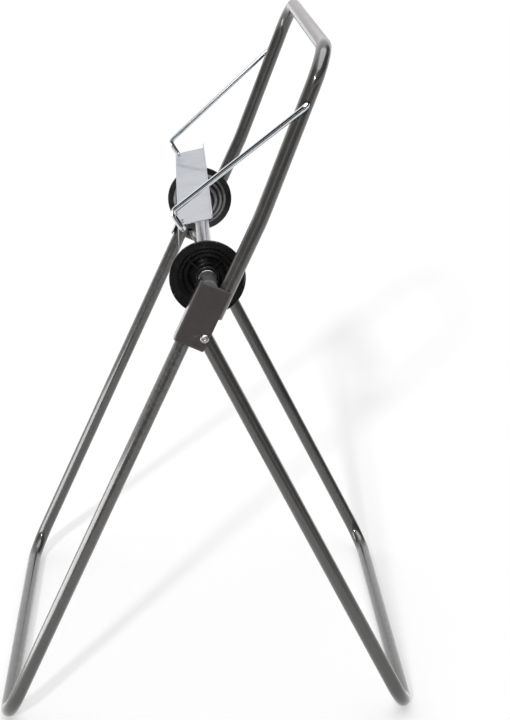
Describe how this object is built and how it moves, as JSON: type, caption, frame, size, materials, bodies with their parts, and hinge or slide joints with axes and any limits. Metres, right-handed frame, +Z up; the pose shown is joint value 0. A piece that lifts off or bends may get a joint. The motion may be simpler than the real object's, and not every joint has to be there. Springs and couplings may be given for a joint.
{
  "type": "paper roll floor stand",
  "caption": "Folding tube floor stand for wide wiping paper rolls, with a tube axle, stepped centring cones and a hinged bail that carries a toothed tear plate.",
  "frame": {"origin": "on the floor, in the middle between the two floor bars and between the two sides", "axes": "+X to the right-hand side along the axle, +Y to the back, +Z up; the front legs, the bail and the tear plate face -Y"},
  "size_m": [0.6094, 0.578, 0.9356],
  "materials": {
    "painted_tube": "satin metallic dark grey",
    "painted_sheet": "satin metallic dark grey",
    "bright_steel": "bright zinc",
    "chromed_tube": "satin bright",
    "chromed_wire": "bright",
    "galvanised_sheet": "satin zinc",
    "grey_plastic": "satin",
    "black_plastic": "satin moulded",
    "rubber": "matte",
    "nylon": "matte"
  },
  "bodies": {
    "stand_frame": {"front_leg_frame": "painted_tube", "upper_frame": "painted_tube", "bracket_left": "painted_sheet", "bracket_right": "painted_sheet", "pivot_rivet_left": "bright_steel", "pivot_rivet_right": "bright_steel", "rivet_washer_left": "bright_steel", "rivet_washer_right": "bright_steel", "pivot_spacer_left": "nylon", "pivot_spacer_right": "nylon", "axle_bush_left": "grey_plastic", "axle_bush_right": "grey_plastic"},
    "rear_legs": {"rear_leg_frame": "painted_tube"},
    "axle": {"axle_tube": "chromed_tube"},
    "left_cone": {"cone_left": "black_plastic", "cone_grip_ring_left": "rubber"},
    "right_cone": {"cone_right": "black_plastic", "cone_grip_ring_right": "rubber"},
    "bail": {"tear_bail": "chromed_wire", "tear_plate": "galvanised_sheet", "bail_clip_left": "galvanised_sheet", "bail_clip_right": "galvanised_sheet"}
  },
  "joints": [
    {"name": "rear_leg_fold", "type": "hinge", "parent": "stand_frame", "child": "rear_legs", "pos_m": [0, 0.00063, 0.56249], "axis": [-1, 0, 0], "range_deg": [0, 51.5]},
    {"name": "axle_spin", "type": "hinge", "parent": "stand_frame", "child": "axle", "pos_m": [0, 0.00627, 0.62762], "axis": [1, 0, 0], "continuous": true},
    {"name": "left_cone_slide", "type": "slide", "parent": "axle", "child": "left_cone", "axis": [1, 0, 0], "range_m": [0, 0.2]},
    {"name": "right_cone_slide", "type": "slide", "parent": "axle", "child": "right_cone", "axis": [-1, 0, 0], "range_m": [0, 0.2]},
    {"name": "bail_swing", "type": "hinge", "parent": "stand_frame", "child": "bail", "pos_m": [0, 0.1289, 0.861], "axis": [-1, 0, 0], "range_deg": [0, 135]}
  ]
}
